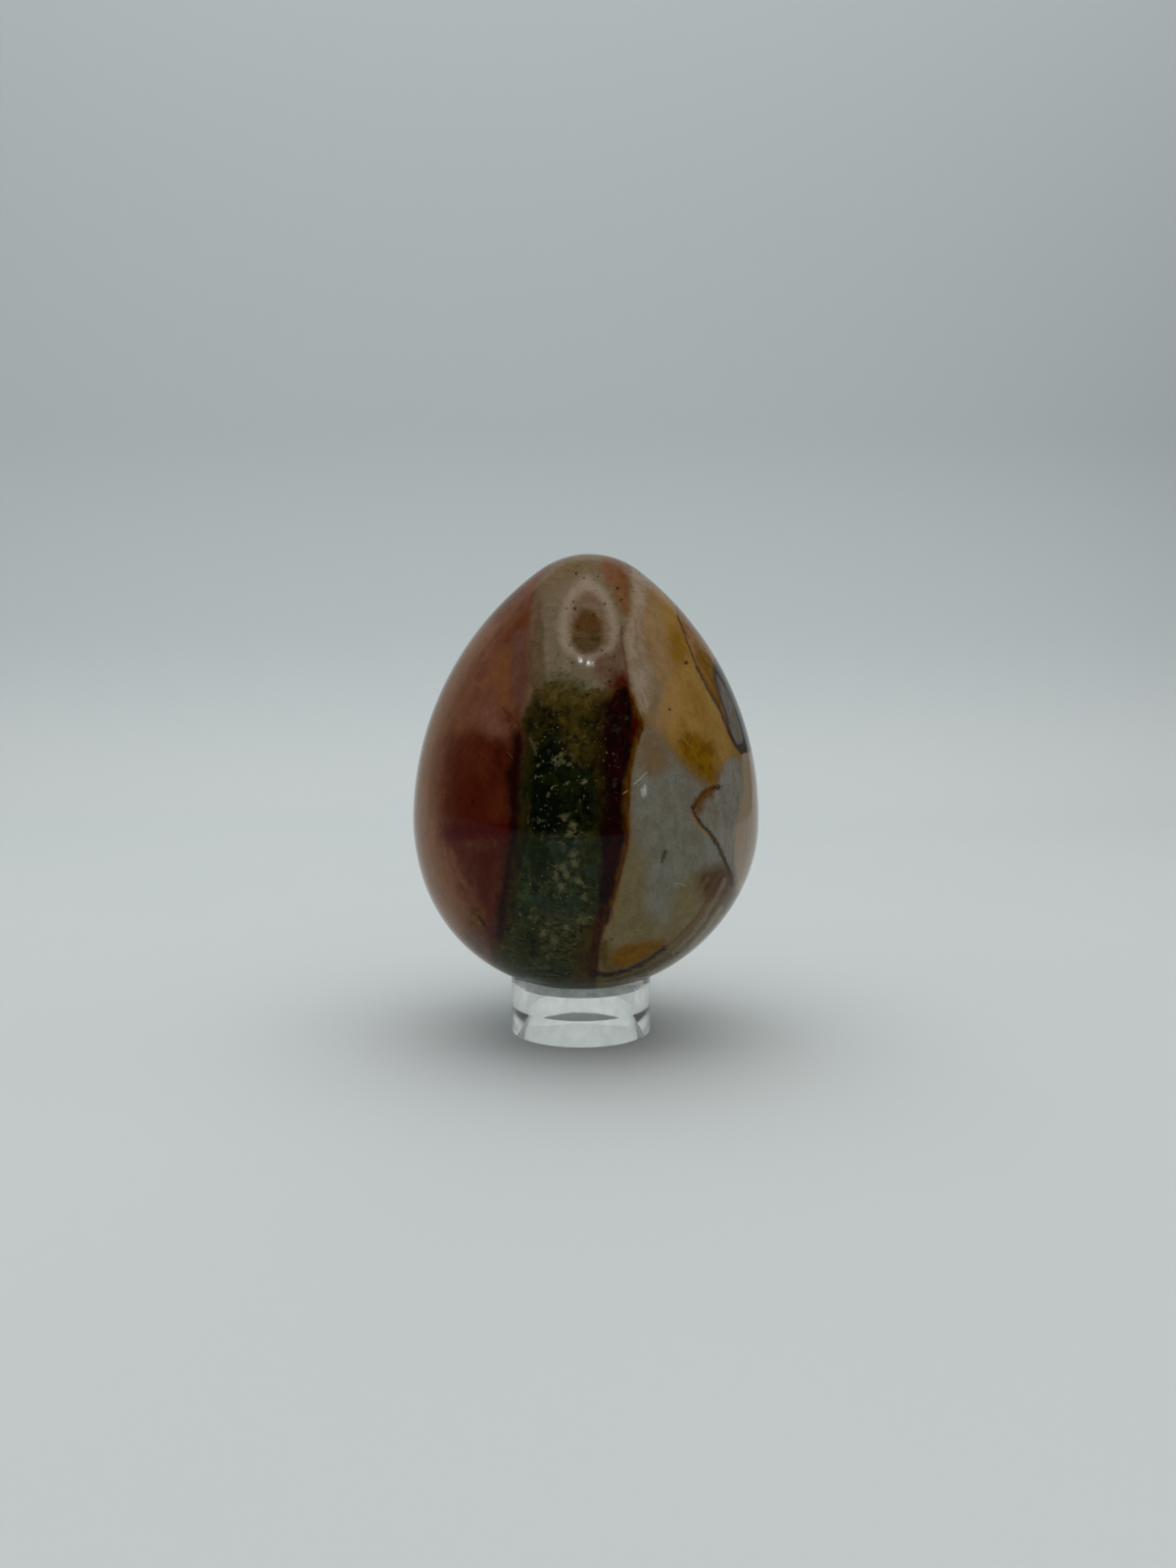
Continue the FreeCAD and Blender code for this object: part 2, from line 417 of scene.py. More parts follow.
FIR = (7, 18, 4)
LODEN = (24, 25, 4)
PINE = (28, 36, 6)
TEAL = (33, 46, 21)
OLIVE = (52, 42, 9)
FERN = (50, 54, 15)
SAGE = (58, 65, 35)
KHAKI = (69, 56, 17)
LICHEN = (70, 68, 35)
MOSS = (81, 65, 19)
STRAW = (95, 77, 34)
CELERY = (103, 94, 52)

AMBER = (105, 68, 5)
SAFFRON = (124, 87, 4)
OCHRE = (134, 96, 11)
GOLD = (140, 104, 43)
HONEY = (159, 123, 62)
APRICOT = (160, 123, 77)

DRIFTWOOD = (95, 72, 47)
DUNE = (112, 88, 54)
BUFF = (113, 89, 66)
RUSHES = (110, 97, 62)
STONE_SHADE = (112, 98, 72)
WHEAT = (124, 102, 72)
FLAX = (124, 112, 78)
SAND = (130, 105, 70)
ALMOND = (132, 108, 84)
STONE = (131, 115, 92)
CAMEL = (140, 106, 68)
OAT = (138, 116, 91)
TAN = (151, 121, 85)
SHELL = (149, 130, 107)
CREAM = (159, 140, 118)

CHARCOAL = (48, 48, 45)
GRAPHITE = (73, 74, 73)
GREY_SHADE = (112, 106, 89)
GREY = (127, 124, 111)
SLATE_SHADE = (117, 109, 95)
PEARL = (128, 120, 116)
SLATE = (136, 131, 120)

FAR_PX = 60.0
DRIFT_PX = 70.0
DRIFT_SIZE = 26 * MM
DRIFT_SEED = 1
DRIFT_START = 0.12
DRIFT_END = -0.75

# Name, softness and raggedness of the edge in pixels, light and dark tone, size of their lumps
# in mm, how much longer than wide they are, share of pale flecks and of dark pits where it has
# any, and the outline
ZONES = [
    # The pale band along the left silhouette is painted sheen: the polish's paler rim laid into the stone's
    # colour.
    ("left_rim", 34, 3, FAWN, COPPER, 3.5, 2, 0, 0.2,
     [(566, 540), (552, 572), (534, 600), (514, 626), (496, 652), (480, 684), (466, 714), (454, 742),
      (447, 775), (444, 815), (446, 850), (452, 885), (462, 915), (476, 946), (496, 978), (512, 1000),
      (500, 1040), (380, 1040), (380, 540)]),
    ("upper_umber", 16, 3, SADDLE, RUSSET, 2.5, 2,
     [(562, 566), (552, 588), (544, 602), (528, 616), (512, 632), (498, 634), (510, 606), (530, 584),
      (548, 566)]),
    ("red_field", 30, 5, RUSSET, BRICK, 3.5, 1.4, 0, 0.6,
     [(450, 795), (454, 768), (462, 748), (480, 740), (502, 742), (521, 748), (526, 800), (526, 858),
      (458, 858), (449, 832)]),
    ("red_flush", 16, 4, BRICK, OXBLOOD, 2, 1.6, 0, 0.5,
     [(500, 752), (506, 744), (516, 752), (519, 775), (514, 796), (504, 806), (496, 798), (502, 776)]),
    ("wine_heart", 26, 5, BRICK, CLARET, 2.5, 1.4, 0, 0.6,
     [(470, 800), (490, 792), (500, 806), (500, 834), (478, 836), (462, 826)]),
    ("red_bar", 20, 4, CARMINE, CHERRY, 2, 0.5,
     [(449, 850), (458, 840), (478, 837), (500, 839), (528, 838), (529, 858), (500, 858), (466, 859),
      (454, 857)]),
    ("russet_low", 28, 3, BRICK, OXBLOOD, 3, 2.5, 0, 0.2,
     [(470, 862), (500, 859), (518, 858), (514, 888), (508, 914), (504, 946), (500, 962), (492, 958),
      (486, 930), (482, 905), (478, 885)]),
    ("yellow_glow", 13, 2, SADDLE, RUST, 1.6, 1,
     [(478, 928), (487, 920), (495, 928), (494, 944), (486, 954), (477, 946)]),
    ("low_mauve", 15, 2, MAUVE, DUSK, 2, 1.5,
     [(470, 950), (484, 949), (496, 955), (498, 972), (492, 984), (478, 972)]),
    ("low_taupe", 12, 3, KHAKI, SEPIA, 2, 1,
     [(499, 962), (514, 958), (524, 962), (528, 990), (514, 1000), (498, 988)]),
    ("left_pink", 20, 2, ROSE, CINNAMON, 3, 2,
     [(494, 692), (501, 694), (505, 708), (511, 722), (521, 738), (525, 748), (510, 754), (494, 748),
      (482, 736), (486, 712)]),
    ("umber_band", 20, 4, TAWNY, CINNAMON, 2.5, 1.6, 0, 0.2,
     [(549, 612), (548, 634), (534, 650), (516, 668), (506, 688), (494, 708), (485, 728), (476, 746),
      (462, 746), (466, 722), (475, 704), (487, 684), (499, 664), (512, 648), (526, 628), (540, 612)]),
    ("umber_heart", 15, 3, UMBER, RUSSET, 2, 1.6,
     [(542, 618), (541, 636), (528, 648), (518, 660), (510, 668), (508, 660), (520, 642), (532, 624)]),
    ("tawny_field", 14, 2, TAWNY, TERRACOTTA, 2.5, 3,
     [(516, 654), (521, 672), (522, 700), (522, 724), (516, 726), (508, 714), (503, 700), (499, 688),
      (505, 670)]),
    ("mauve_stripe", 10, 2, MAUVE, MAUVE_SHADE, 2, 4,
     [(522, 652), (530, 640), (538, 646), (538, 690), (536, 710), (531, 728), (523, 718), (521, 690)]),
    ("beige_strip", 8, 2, BUFF, DRIFTWOOD, 2, 3,
     [(547, 590), (556, 600), (554, 650), (556, 682), (553, 706), (546, 716), (538, 730), (534, 742),
      (530, 730), (536, 712), (538, 690), (538, 650), (543, 622)]),
    ("green_ground", 12, 4, KHAKI, LODEN, 1.4, 1, 0.3, 0.3,
     [(552, 700), (600, 720), (622, 760), (624, 850), (618, 930), (612, 1040), (486, 1040), (504, 985),
      (512, 930), (522, 880), (526, 830), (526, 780), (527, 745), (538, 722)]),
    ("crack_shade", 8, 2, CINNAMON, RUST, 1.4, 2,
     [(512, 722), (522, 730), (532, 742), (537, 757), (533, 776), (524, 770), (522, 748)]),
    ("strip_upper", 13, 2, MAHOGANY, PEAT, 1.8, 3,
     [(521, 750), (530, 744), (536, 757), (534, 775), (532, 800), (531, 840), (529, 858), (518, 858),
      (519, 830), (517, 800), (514, 788), (521, 775)]),
    ("strip_lower", 15, 2, MAHOGANY, PEAT, 1.8, 3,
     [(517, 852), (529, 852), (526, 880), (522, 900), (519, 930), (515, 956), (508, 966), (503, 956),
      (504, 935), (508, 912), (513, 885)]),
    ("olive_strip", 7, 2, OLIVE, FIR, 1.8, 3,
     [(536, 735), (541, 750), (546, 765), (546, 800), (541, 830), (541, 850), (539, 870), (537, 890),
      (534, 915), (530, 940), (527, 965), (526, 1000), (512, 1004), (516, 970), (519, 940), (523, 905),
      (528, 868), (532, 835), (532, 800), (534, 775), (537, 757)]),
    ("cap", 8, 2, STONE, STONE_SHADE, 2.4, 1.2, 0, 0.4,
     [(553, 604), (556, 585), (570, 560), (600, 545), (632, 548), (645, 590), (646, 618), (637, 640),
      (635, 658), (639, 680), (638, 692), (628, 700), (616, 712), (600, 716), (576, 712), (560, 704),
      (552, 706), (556, 682), (553, 650)]),
    ("cap_shade", 18, 3, WHEAT, DUNE, 1.8, 1, 0.1, 0.4,
     [(550, 590), (566, 572), (600, 556), (612, 575), (596, 583), (578, 590), (566, 604), (554, 614)]),
    ("cap_olive", 18, 6, STONE_SHADE, LICHEN, 1.4, 1, 0.2, 0.6,
     [(553, 690), (566, 684), (590, 690), (600, 698), (602, 712), (590, 716), (574, 714), (560, 708),
      (552, 706)]),
    ("cap_pink", 16, 2, BUFF, MAUVE_SHADE, 1.8, 1.2, 0, 0.4,
     [(612, 650), (622, 655), (631, 645), (634, 660), (637, 682), (632, 694), (618, 700), (608, 690),
      (606, 668)]),
    ("halo", 10, 2, CREAM, SHELL, 1.4, 1, 0, 0.3,
     [(599, 587), (611, 597), (622, 611), (630, 632), (631, 655), (622, 668), (590, 674), (574, 664),
      (569.5, 648), (571, 630), (577, 609), (587, 595)]),
    ("oval_ground", 11, 2, ALMOND, BUFF, 1.4, 1,
     [(600, 601), (610, 608), (619, 622), (623, 645), (620, 660), (611, 668), (590, 668), (580, 654),
      (580, 634), (584, 618), (591, 606)]),
    ("eye_brown", 9, 2, BARK, HAZEL, 1.2, 1,
     [(599, 621), (607, 625), (613.5, 635), (616, 646), (606, 650), (592, 648), (585, 644), (586, 632),
      (592, 624)]),
    ("eye_olive", 9, 2, DRIFTWOOD, KHAKI, 1.2, 1,
     [(585, 646), (600, 649), (616, 646), (614, 658), (607, 665), (597, 668), (588, 662), (584, 654)]),
    ("crown_russet", 9, 4, COPPER, TERRACOTTA, 1.6, 1.6, 0.25, 0.3,
     [(618, 545), (634, 552), (640, 585), (646, 612), (642, 630), (634, 626), (627, 608), (618, 594),
      (610, 578)]),
    ("cap_umber", 12, 3, RUSSET, OXBLOOD, 1.4, 1.4,
     [(622, 696), (630, 686), (638, 684), (643, 700), (644, 714), (634, 722), (622, 718), (616, 708)]),
    ("olive_green", 12, 6, OLIVE, PITCH, 1.5, 1.1, 0.4, 0.5,
     [(552, 704), (570, 708), (600, 710), (618, 708), (624, 716), (622, 745), (610, 762), (608, 800),
      (592, 806), (580, 792), (566, 776), (550, 768), (546, 770), (541, 752), (536, 735), (545, 714)]),
    ("cap_moss", 15, 7, STRAW, OLIVE, 1.2, 1, 0.3, 0.8,
     [(550, 696), (575, 700), (600, 706), (624, 700), (626, 716), (604, 726), (580, 724), (560, 720),
      (546, 712)]),
    ("moss_yellow", 12, 7, MOSS, LODEN, 1.3, 1.1, 0.25, 0.7,
     [(568, 714), (584, 716), (594, 730), (604, 744), (606, 764), (596, 778), (584, 770), (578, 752),
      (570, 740), (566, 726)]),
    ("dark_green", 9, 7, PINE, PITCH, 1.3, 1.2, 0.75, 0,
     [(548, 764), (553, 746), (562, 742), (570, 752), (576, 774), (588, 784), (602, 788), (612, 804),
      (616, 832), (606, 850), (585, 852), (545, 856), (540, 840), (540, 805)]),
    ("emerald", 13, 4, FIR, PITCH, 1.2, 1, 0.6, 0.2,
     [(547, 768), (556, 760), (570, 768), (568, 780), (556, 794), (545, 800), (543, 784)]),
    ("black_corner", 8, 5, FIR, PITCH, 1.2, 1, 0.75, 0,
     [(541, 800), (556, 796), (562, 812), (572, 822), (572, 846), (556, 852), (541, 850)]),
    ("sage", 9, 4, SAGE, FIR, 1.3, 0.9, 0.6, 0.7,
     [(538, 856), (560, 852), (586, 850), (618, 852), (617, 890), (610, 905), (612, 930), (604, 950),
      (560, 944), (524, 946), (530, 905)]),
    ("leaf_green", 13, 4, PINE, FIR, 1.3, 0.9, 0.15, 0.3,
     [(540, 850), (556, 852), (562, 862), (566, 880), (560, 892), (546, 896), (537, 890), (538, 866)]),
    ("taupe_green", 15, 4, FERN, LODEN, 1.4, 1.2, 0.3, 0.9,
     [(588, 852), (612, 850), (616, 880), (606, 900), (604, 930), (590, 926), (594, 900), (586, 884),
      (592, 868)]),
    ("teal_upper", 9, 5, TEAL, PITCH, 1, 0.8, 0.4, 0.5,
     [(560, 862), (574, 858), (590, 860), (592, 872), (580, 880), (566, 878)]),
    ("teal_lower", 9, 5, SAGE, FIR, 1, 0.6, 0.5, 0.3,
     [(548, 914), (560, 906), (580, 904), (594, 908), (594, 920), (580, 926), (556, 924)]),
    ("low_green", 12, 5, LICHEN, LODEN, 1.3, 0.6, 0.5, 0.7,
     [(520, 940), (560, 928), (604, 930), (606, 960), (590, 975), (592, 1040), (490, 1040), (516, 985)]),
    ("low_leaf", 13, 4, FERN, FIR, 1.2, 0.8, 0.4, 0.5,
     [(528, 945), (542, 936), (552, 950), (552, 975), (538, 986), (524, 984)]),
    ("foot_grey", 14, 4, SAGE, LODEN, 1.5, 0.6, 0.3, 0.5,
     [(520, 984), (560, 978), (588, 984), (590, 1040), (500, 1040)]),
    ("umber_foot", 11, 4, KHAKI, SEPIA, 1.6, 2, 0, 0.9,
     [(596, 950), (606, 938), (614, 940), (613, 965), (611, 1040), (582, 1040), (586, 980)]),
    ("right_ground", 3.5, 1, SAND, DUNE, 3, 1.5,
     [(646, 540), (830, 540), (830, 1040), (606, 1040), (610, 985), (614, 955), (622, 941), (627, 937),
      (625, 922), (632, 892), (638, 875), (642, 855), (641, 811), (644, 782), (652, 752), (658, 737),
      (650, 727), (646, 713), (642, 698), (639, 675), (635, 656), (636, 642), (645, 620), (643, 590)]),
    ("tan_shoulder", 22, 3, TAN, CAMEL, 3, 2.5,
     [(660, 560), (720, 560), (712, 640), (694, 676), (684, 740), (668, 752), (662, 730), (668, 700),
      (662, 670), (652, 645), (654, 615)]),
    ("grey_ridge", 9, 2, CREAM, OAT, 1.8, 2.5,
     [(644, 560), (664, 570), (662, 596), (657, 622), (655, 650), (661, 672), (669, 690), (670, 712),
      (660, 730), (652, 724), (645, 702), (640, 672), (636, 648), (646, 622)]),
    ("tan_shade", 9, 2, STONE, WHEAT, 2, 2,
     [(664, 690), (672, 696), (676, 712), (670, 726), (662, 728), (667, 712)]),
    ("ochre_slope", 22, 4, HONEY, GOLD, 3, 2,
     [(672, 600), (700, 620), (712, 670), (728, 702), (744, 735), (756, 764), (742, 780), (716, 780),
      (690, 772), (676, 754), (680, 715), (690, 690), (684, 660), (676, 630)]),
    ("strong_ochre", 18, 3, OCHRE, SAFFRON, 1.8, 2,
     [(684, 640), (694, 648), (700, 664), (700, 678), (690, 676), (682, 662)]),
    ("apricot", 16, 3, APRICOT, HONEY, 2, 1.5,
     [(682, 692), (692, 690), (698, 710), (694, 738), (684, 742), (678, 722)]),
    ("stone_grey", 15, 4, GREY, GREY_SHADE, 2.2, 1.4, 0, 0.15,
     [(656, 742), (668, 746), (684, 768), (700, 786), (718, 802), (736, 804), (740, 780), (760, 776),
      (830, 780), (830, 880), (752, 905), (735, 884), (706, 934), (690, 946), (660, 950), (652, 930),
      (656, 890), (646, 860), (643, 830), (643, 800), (647, 772)]),
    ("taupe_cloud", 20, 4, WHEAT, BUFF, 1.8, 1.4,
     [(650, 752), (664, 742), (680, 760), (684, 782), (668, 792), (652, 786)]),
    ("warm_low", 26, 3, FLAX, RUSHES, 2, 1.4, 0, 0.1,
     [(643, 856), (652, 866), (658, 890), (656, 930), (676, 948), (694, 946), (684, 960), (640, 966),
      (618, 976), (612, 960), (626, 940), (628, 915), (636, 885)]),
    ("warm_flank", 18, 3, FLAX, RUSHES, 1.6, 1,
     [(694, 900), (714, 888), (724, 906), (714, 930), (700, 946), (686, 952), (682, 934)]),
    ("ochre_patch", 15, 4, OCHRE, AMBER, 1.8, 1.3,
     [(690, 762), (696, 748), (712, 748), (728, 758), (732, 772), (731, 790), (729, 803), (722, 799),
      (712, 790), (700, 780)]),
    ("slate_lobe", 5, 1, SLATE, SLATE_SHADE, 2, 2,
     [(738, 780), (750, 770), (757, 786), (758, 807), (754, 826), (750, 845), (748, 905), (743, 882),
      (733, 859), (718, 843), (711, 830), (722, 812), (733, 806)]),
    ("blush_edge", 5, 1, CREAM, SHELL, 3, 3,
     [(756, 760), (830, 750), (830, 940), (746, 940), (752, 905), (748, 864), (750, 845), (754, 826),
      (758, 807), (758, 788)]),
    ("mauve_brown", 18, 3, HAZEL, RUST, 1.5, 1.6,
     [(712, 892), (726, 886), (740, 882), (747, 893), (748, 905), (742, 926), (730, 930), (722, 918),
      (712, 908)]),
    ("flow_layer", 8, 1, STRAW, MOSS, 1.2, 1,
     [(672, 1000), (684, 968), (704, 950), (720, 930), (736, 912), (770, 908), (760, 950), (724, 986),
      (700, 1010)]),
    ("ochre_mouth", 7, 1.5, SAFFRON, AMBER, 1.6, 0.8,
     [(624, 974), (634, 965), (652, 962), (676, 957), (680, 963), (664, 976), (644, 986), (628, 989),
      (622, 983)]),
    ("mouth_pale", 10, 2, STRAW, MOSS, 1.4, 1,
     [(610, 958), (622, 962), (620, 982), (630, 990), (612, 992)]),
    ("lip_layer", 5, 1, CELERY, MOSS, 1.4, 0.6,
     [(606, 995), (630, 997), (656, 987), (678, 970), (690, 966), (680, 984), (656, 998), (620, 1010),
      (604, 1010)]),
    ("lens_body", 1.5, 0.6, APRICOT, COPPER, 2.2, 2,
     [(691, 600), (691, 622), (693, 634), (699, 650), (707, 670), (716, 690), (728, 712), (738, 732),
      (743, 748), (750, 761), (757, 768), (762, 766), (766, 752), (800, 740), (800, 620), (730, 580)]),
    ("lens_ochre", 6, 1, GOLD, AMBER, 1.8, 2,
     [(708, 662), (718, 664), (728, 676), (728, 690), (735, 708), (737, 726), (726, 710), (716, 690)]),
    ("lens_dusk", 3, 1, GRAPHITE, CHARCOAL, 1.8, 2,
     [(729, 672), (746, 672), (790, 740), (775, 762), (760, 770), (751, 762), (744, 750), (740, 728),
      (735, 708), (728, 688)]),
    ("lens_pearl", 4.5, 0.6, PEARL, GREY_SHADE, 1.6, 2,
     [(730, 686), (737, 696), (744, 706), (751, 726), (757, 744), (759, 758), (752, 760), (746, 748),
      (740, 726), (734, 704)]),
    ("ochre_fringe", 4, 1.3, AMBER, OXBLOOD, 1.6, 3,
     [(634, 712), (645, 704), (649, 716), (652, 728), (658, 737), (656, 748), (651, 760), (647, 776),
      (644.5, 792), (643.5, 812), (642, 832), (643, 852), (641, 868), (637, 882), (634, 895), (630, 911),
      (627, 922), (622, 931), (618, 918), (623, 880), (626, 840), (631, 780), (630, 735), (632, 722)]),
    ("haze", 14, 3, SEPIA, PEAT, 1.8, 3, 0.2, 0.1,
     [(607, 724), (620, 708), (636, 712), (640, 760), (636, 850), (626, 880), (614, 880), (611, 846),
      (612, 800), (609, 760)]),
    ("maroon", 5.5, 1.8, MAHOGANY, PITCH, 1.8, 2.5, 0.12, 0.2,
     [(624, 712), (632, 700), (640, 700), (643, 712), (645, 724), (647, 734), (646, 750), (645, 764),
      (641, 778), (637, 792), (634.5, 806), (634, 822), (635, 840), (638, 856), (634, 866), (632, 880),
      (629, 895), (625, 913), (621, 924), (622, 937), (615, 945), (612, 960), (609, 975), (607, 1000),
      (604, 1000), (603, 975), (606, 945), (612, 928), (610, 905), (616, 890), (615, 868), (613, 846),
      (621, 822), (620, 790), (619, 760), (616, 735)]),
    ("ember", 6, 1.5, CHERRY, MAHOGANY, 1.2, 1.5,
     [(644, 728), (649, 730), (653, 738), (650, 748), (644, 757), (641, 754), (645, 742)]),
    ("garnet", 9, 2, GARNET, PITCH, 1.8, 2,
     [(616, 846), (626, 850), (638, 853), (634, 864), (631, 882), (626, 900), (618, 914), (612, 902),
      (617, 888), (615, 866)]),
    ("rust_tail", 9, 2, RUST, MAHOGANY, 1.4, 2, 0, 0.5,
     [(608, 925), (622, 922), (622, 938), (614, 948), (611, 975), (608, 1010), (600, 1010), (602, 970),
      (606, 945)]),
]

# Half width in pixels, softness as a share of it, tone, strength and points
STROKES = [
    # Edges of the cap and the shoulder
    (1.3, 0.8, (98, 60, 44), 0.6, [(634, 640), (634.5, 656), (637.6, 672), (640, 687.5), (642.8, 700)]),
    (2.6, 0.9, (92, 82, 58), 0.5, [(552, 640), (553, 664), (553.5, 680), (551, 702)]),
    (1.4, 0.9, (130, 100, 72), 0.45, [(648, 633), (650, 648), (649, 662)]),
    # The lens: outline, rim and the line inside it
    (1.0, 0.7, (84, 58, 40), 0.8,
     [(690, 600), (691, 620), (692, 630), (696.5, 642), (703.8, 662), (711.4, 681)]),
    (1.4, 0.7, (66, 50, 40), 0.85,
     [(711.4, 681), (721.6, 701.6), (734.4, 723.3), (742, 741), (745.5, 751), (750, 760), (756, 768),
      (760, 767), (764, 756)]),
    (1.1, 0.9, (116, 94, 76), 0.6, [(699, 630), (712, 650), (725, 671), (738, 695)]),
    (1.2, 0.8, (78, 68, 64), 0.8, [(730, 672), (727.5, 686), (731.8, 702.9), (738, 720.7), (744, 738)]),
    # The hooked fracture: its two legs, fill and glow
    (2.3, 0.8, (58, 34, 10), 0.95, [(734, 803), (722, 805.5), (715.4, 812.2), (707.7, 824.6)]),
    (2.0, 0.8, (56, 34, 18), 0.9,
     [(707.7, 824.6), (709.5, 833), (716.3, 842.8), (724, 850.4), (730.7, 859), (735.4, 869.6),
      (741.2, 882), (746, 893.5), (747, 903)]),
    (4.5, 0.8, (104, 64, 10), 0.85, [(724, 808), (716, 816), (712, 827)]),
    (1.6, 0.9, (158, 124, 66), 0.5, [(706, 832), (713, 843), (721, 851)]),
    # The crack at the left and the pale lip beside it
    (1.2, 0.9, (72, 40, 28), 0.6, [(513, 722.4), (521, 730), (529.8, 740.3), (535, 750.5), (542.5, 759.4)]),
    (1.3, 0.9, (98, 92, 66), 0.4, [(541, 753), (545, 762), (547.5, 771)]),
    # Single ticks and the vein under the ochre mouth
    (2.0, 0.8, (54, 58, 38), 0.9, [(679, 869), (677.5, 874), (675.5, 879)]),
    (1.4, 0.7, (18, 8, 5), 0.9, [(489.8, 936.2), (494.2, 943.6)]),
    (2.5, 0.8, (26, 16, 6), 0.95,
     [(608, 992), (617, 994.5), (628.7, 993.4), (640, 990), (655, 983.6), (669, 974), (679, 966.4)]),
    # Dark flow lines at the right foot
    (1.7, 0.9, (92, 66, 38), 0.8,
     [(680, 966), (689.5, 958.4), (703.3, 944.6), (714.8, 930.8), (721.7, 918), (727, 903), (735, 892)]),
    (1.8, 0.9, (70, 48, 20), 0.85, [(619.5, 1001), (643.6, 995.7), (664, 988), (675.8, 981), (692, 970)]),
    (1.6, 0.9, (88, 62, 40), 0.75, [(700, 962), (714.8, 943.5), (726, 929.7), (733, 920), (738, 908)]),
    (1.6, 0.9, (96, 72, 48), 0.65, [(690, 978), (710, 962), (728, 942), (742, 920)]),
    (1.8, 0.9, (122, 102, 70), 0.5,
     [(668, 962), (680, 951), (694, 938), (706, 922), (714, 908), (722, 897)]),
    # Pale flow lines between them
    (2.2, 0.9, (150, 134, 104), 0.6, [(664, 993), (684, 983), (704, 967), (722, 947), (736, 926)]),
    (2.0, 0.9, (142, 126, 100), 0.55, [(688, 972), (706, 954), (719, 937), (730, 918), (740, 898)]),
    # Two more dark ones nearer the foot
    (1.5, 0.9, (92, 70, 34), 0.6, [(656, 992), (672, 986), (686, 976), (702, 968)]),
    (1.0, 0.9, (84, 62, 30), 0.5, [(628, 1004), (648, 1001), (668, 994), (684, 985)]),
    # The level crack in the red field
    (1.2, 0.9, (56, 22, 12), 0.35, [(462, 856), (486, 855.5), (512, 854)]),
    # Scratches
    (0.45, 0.8, (204, 200, 182), 0.45, [(646.5, 801), (654, 793.6), (661, 787.4)]),
    (0.6, 0.8, (190, 160, 110), 0.5, [(636, 810), (641, 806)]),
    (0.6, 0.8, (190, 186, 168), 0.35, [(690, 901), (694, 901.6), (699, 904)]),
    (0.6, 0.8, (120, 88, 74), 0.4, [(519, 768), (523, 774)]),
    (0.5, 0.9, (184, 150, 84), 0.22, [(697, 753), (701, 758), (707, 763)]),
    (0.5, 0.9, (184, 150, 84), 0.18, [(704, 752), (702, 757), (701, 762)]),
    (0.5, 0.9, (184, 156, 96), 0.22, [(691, 742), (696, 746)]),
    (0.4, 0.9, (196, 192, 176), 0.4, [(650, 797), (655, 795)]),
]

# Half width in pixels, softness as a share of it, tone, strength and places
DOTS = [
    # Pits
    (1.5, 0.5, (30, 20, 12), 0.85,
     [(587, 621), (578, 621), (585, 614), (610, 588), (617, 616), (581, 658), (627, 670), (622, 684),
      (622, 696), (599, 709), (592, 732), (608, 722), (603, 722), (588, 585), (606, 627), (590, 640),
      (604, 652), (614, 664), (618, 668), (596, 700), (584, 676), (569, 668), (573, 700), (596, 590),
      (630, 600), (634, 612)]),
    # Pale flecks
    (0.75, 0.8, (140, 128, 90), 0.55,
     [(607, 757), (613, 762), (619, 768), (616, 776), (622, 781), (628, 776), (612, 772), (631, 783),
      (626, 769), (618, 754), (562, 736), (569, 742), (556, 752), (566, 757), (574, 764), (588, 760),
      (596, 752), (582, 752), (553, 798), (561, 789), (548, 812), (556, 822), (569, 806), (573, 822),
      (551, 836), (560, 842), (584, 806), (596, 812), (589, 796), (600, 824), (545, 845), (567, 848),
      (579, 848), (553, 894), (550, 909), (565, 913), (544, 948), (546, 941), (551, 938), (541, 902),
      (559, 886), (572, 908), (583, 913)]),
    # Clay-coloured spots
    (3.4, 0.7, (104, 98, 70), 0.8,
     [(585, 881), (574, 886), (578, 893), (573, 904), (576, 836), (584, 842), (590, 899), (555, 952),
      (584, 872), (568, 896), (559, 943), (578, 946), (592, 938), (566, 960), (596, 916)]),
    # Teal clouds
    (5.5, 0.9, (34, 50, 44), 0.6,
     [(570, 864), (580, 868), (590, 862), (596, 888), (604, 891), (560, 928), (584, 920), (548, 918),
      (575, 934)]),
    # Dark specks
    (1.4, 0.5, (10, 8, 5), 0.9,
     [(596, 863), (610, 874), (604, 881), (585, 876), (582, 882), (604, 893), (618, 886), (615, 897),
      (588, 936), (600, 945), (593, 950), (595, 961), (587, 966), (569, 969), (600.5, 987), (606, 903),
      (612, 884), (598, 908), (691, 973), (618, 961), (625, 959), (700, 676), (683, 724), (556, 974),
      (546, 962), (576, 984), (563, 990)]),
]

# The ground under all zones, in the same order as a zone's look
GROUND = (TAWNY, RUSSET, 3.5, 1.6, 0, 0.25)

# Bands that only the far side has
BAND_SIZE = 11 * MM
BAND_DARK = (62, 26, 14)
BAND_PALE = (140, 122, 92)

# Sizes of the noise and of the cells that hold a speck each
EDGE_LUMP_SIZE = 1.3 * MM
FINE_LUMP_SIZE = 0.4 * MM
LUMP_SPREAD = 0.17
CLUSTER_SIZE = 5 * MM
LACE_SIZE = 1.6 * MM
GRIT_CELL = 0.95 * MM
SMALL_PIT_CELL = 0.9 * MM
LARGE_PIT_CELL = 2.1 * MM
FLECK_LIGHT = (126, 118, 82)
FLECK_DARK = (74, 70, 40)
FLECK_LUMPS_MM = 1.3
FLECK_STRETCH = 1.1
PIT_SHADE = 0.35
GRAIN_SIZE = 0.45 * MM
GRAIN = 0.12

# Polish
SMUDGE_SIZE = 9 * MM
SMUDGE_LEAST = 0.06
SMUDGE_MOST = 0.11
SCORE_SIZE = 1.5 * MM
SCORE_DEPTH = 0.04 * MM
STONE_GLOSS = 0.1

DOT_SEED = 7
DOT_SIZES = (0.7, 1.25)
DOT_DEPTHS = (0.45, 1.0)
MARK_MARGIN_PX = 6.5
